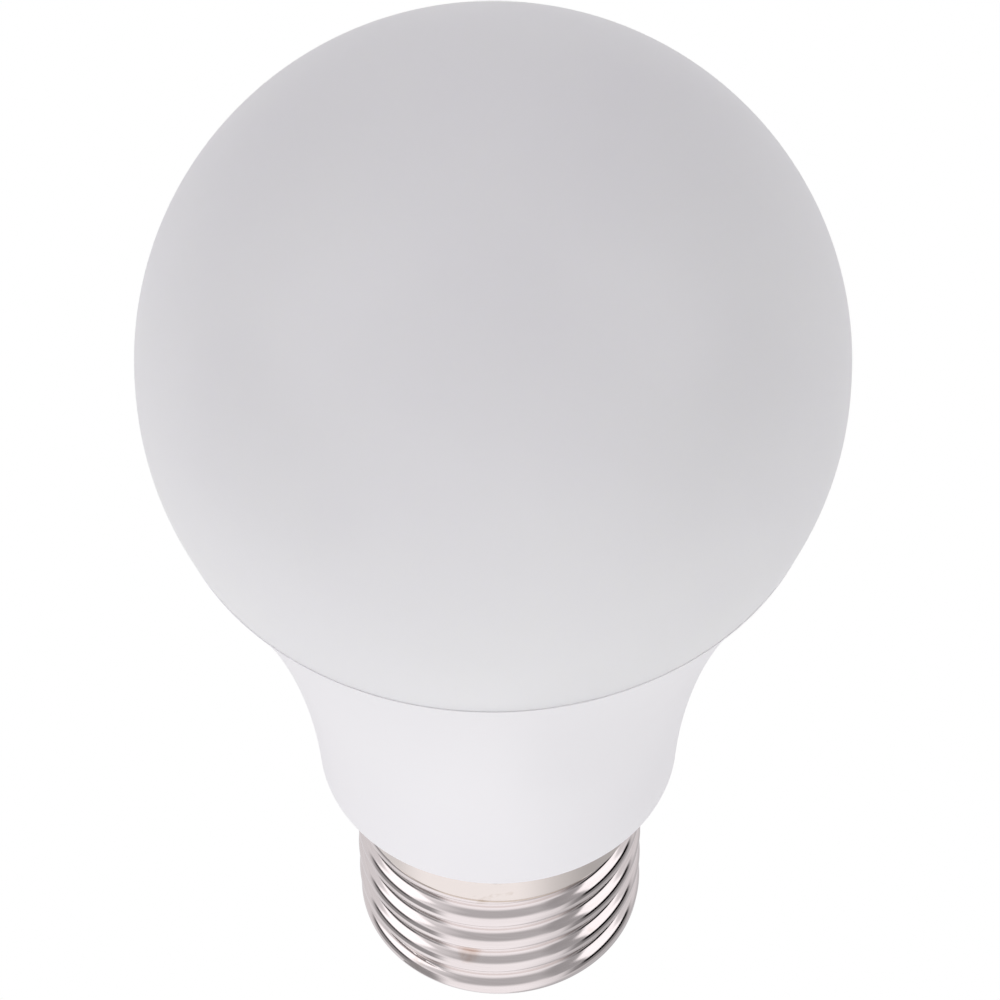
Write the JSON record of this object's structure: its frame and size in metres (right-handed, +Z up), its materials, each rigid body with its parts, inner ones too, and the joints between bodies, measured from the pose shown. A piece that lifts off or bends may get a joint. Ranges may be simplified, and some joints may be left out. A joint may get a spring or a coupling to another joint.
{
  "type": "smart light bulb",
  "caption": "Smart light bulb: milky globe on a flared white body with an E27 screw cap; a radio module, a board of white and colour LEDs and a driver are sealed inside.",
  "frame": {"origin": "centre of the flat tip of the centre contact", "axes": "+Z up the bulb's axis to the top of the globe; the front faces -Y"},
  "size_m": [0.06, 0.06, 0.1112],
  "materials": {
    "globe_plastic": "satin, translucent milky white",
    "body_plastic": "smooth white",
    "cap_nickel": "bright nickel plating",
    "contact_metal": "tinned brass",
    "insulator_glass": "black glass-like",
    "silicone": "matte white silicone",
    "aluminium": "spun, satin",
    "pad": "soft grey",
    "white_mask": "white solder mask on aluminium",
    "green_board": "green solder mask",
    "blue_board": "blue solder mask",
    "led_cool": "pale yellow phosphor",
    "led_warm": "orange-yellow phosphor",
    "led_colour": "clear lens on white frame",
    "screw_steel": "zinc plated",
    "white_nylon": "moulded",
    "black_nylon": "moulded",
    "pin_tin": "tinned",
    "shield_metal": "satin",
    "winding_wire": "enamelled copper wire",
    "copper": "bare copper under mask",
    "liner_plastic": "moulded",
    "can_sleeve": "printed-free dark blue sleeve",
    "film_yellow": "moulded yellow box",
    "resistor_body": "lacquered",
    "chip_black": "moulded epoxy",
    "ferrite": "matte dark grey",
    "tape_yellow": "polyester tape",
    "wire_red": "silicone insulation",
    "wire_black": "silicone insulation"
  },
  "bodies": {
    "root": {"globe_diffuser": "globe_plastic", "diffuser_sealant": "silicone", "housing_shell": "body_plastic", "cap_shell": "cap_nickel", "cap_insulator": "insulator_glass", "centre_contact": "contact_metal", "heat_sink_cup": "aluminium", "thermal_pad": "pad", "led_board": "white_mask", "cool_white_leds": "led_cool", "warm_white_leds": "led_warm", "colour_leds": "led_colour", "board_screws": "screw_steel", "board_socket": "white_nylon", "header_pins": "pin_tin", "header_block": "black_nylon", "radio_module_board": "blue_board", "radio_shield_can": "shield_metal", "radio_crystal": "shield_metal", "radio_antenna": "copper", "driver_liner": "liner_plastic", "driver_board": "green_board", "input_capacitor": "can_sleeve", "output_capacitor": "can_sleeve", "film_capacitor": "film_yellow", "fuse_resistor": "resistor_body", "component_leads": "pin_tin", "bridge_rectifier": "chip_black", "driver_chip": "chip_black", "colour_driver_chip": "chip_black", "inductor_drum": "ferrite", "inductor_winding": "winding_wire", "transformer_core": "ferrite", "transformer_bobbin": "black_nylon", "transformer_winding": "tape_yellow", "surface_mount_parts": "ferrite", "live_wire": "wire_red", "neutral_wire": "wire_black"}
  },
  "joints": []
}
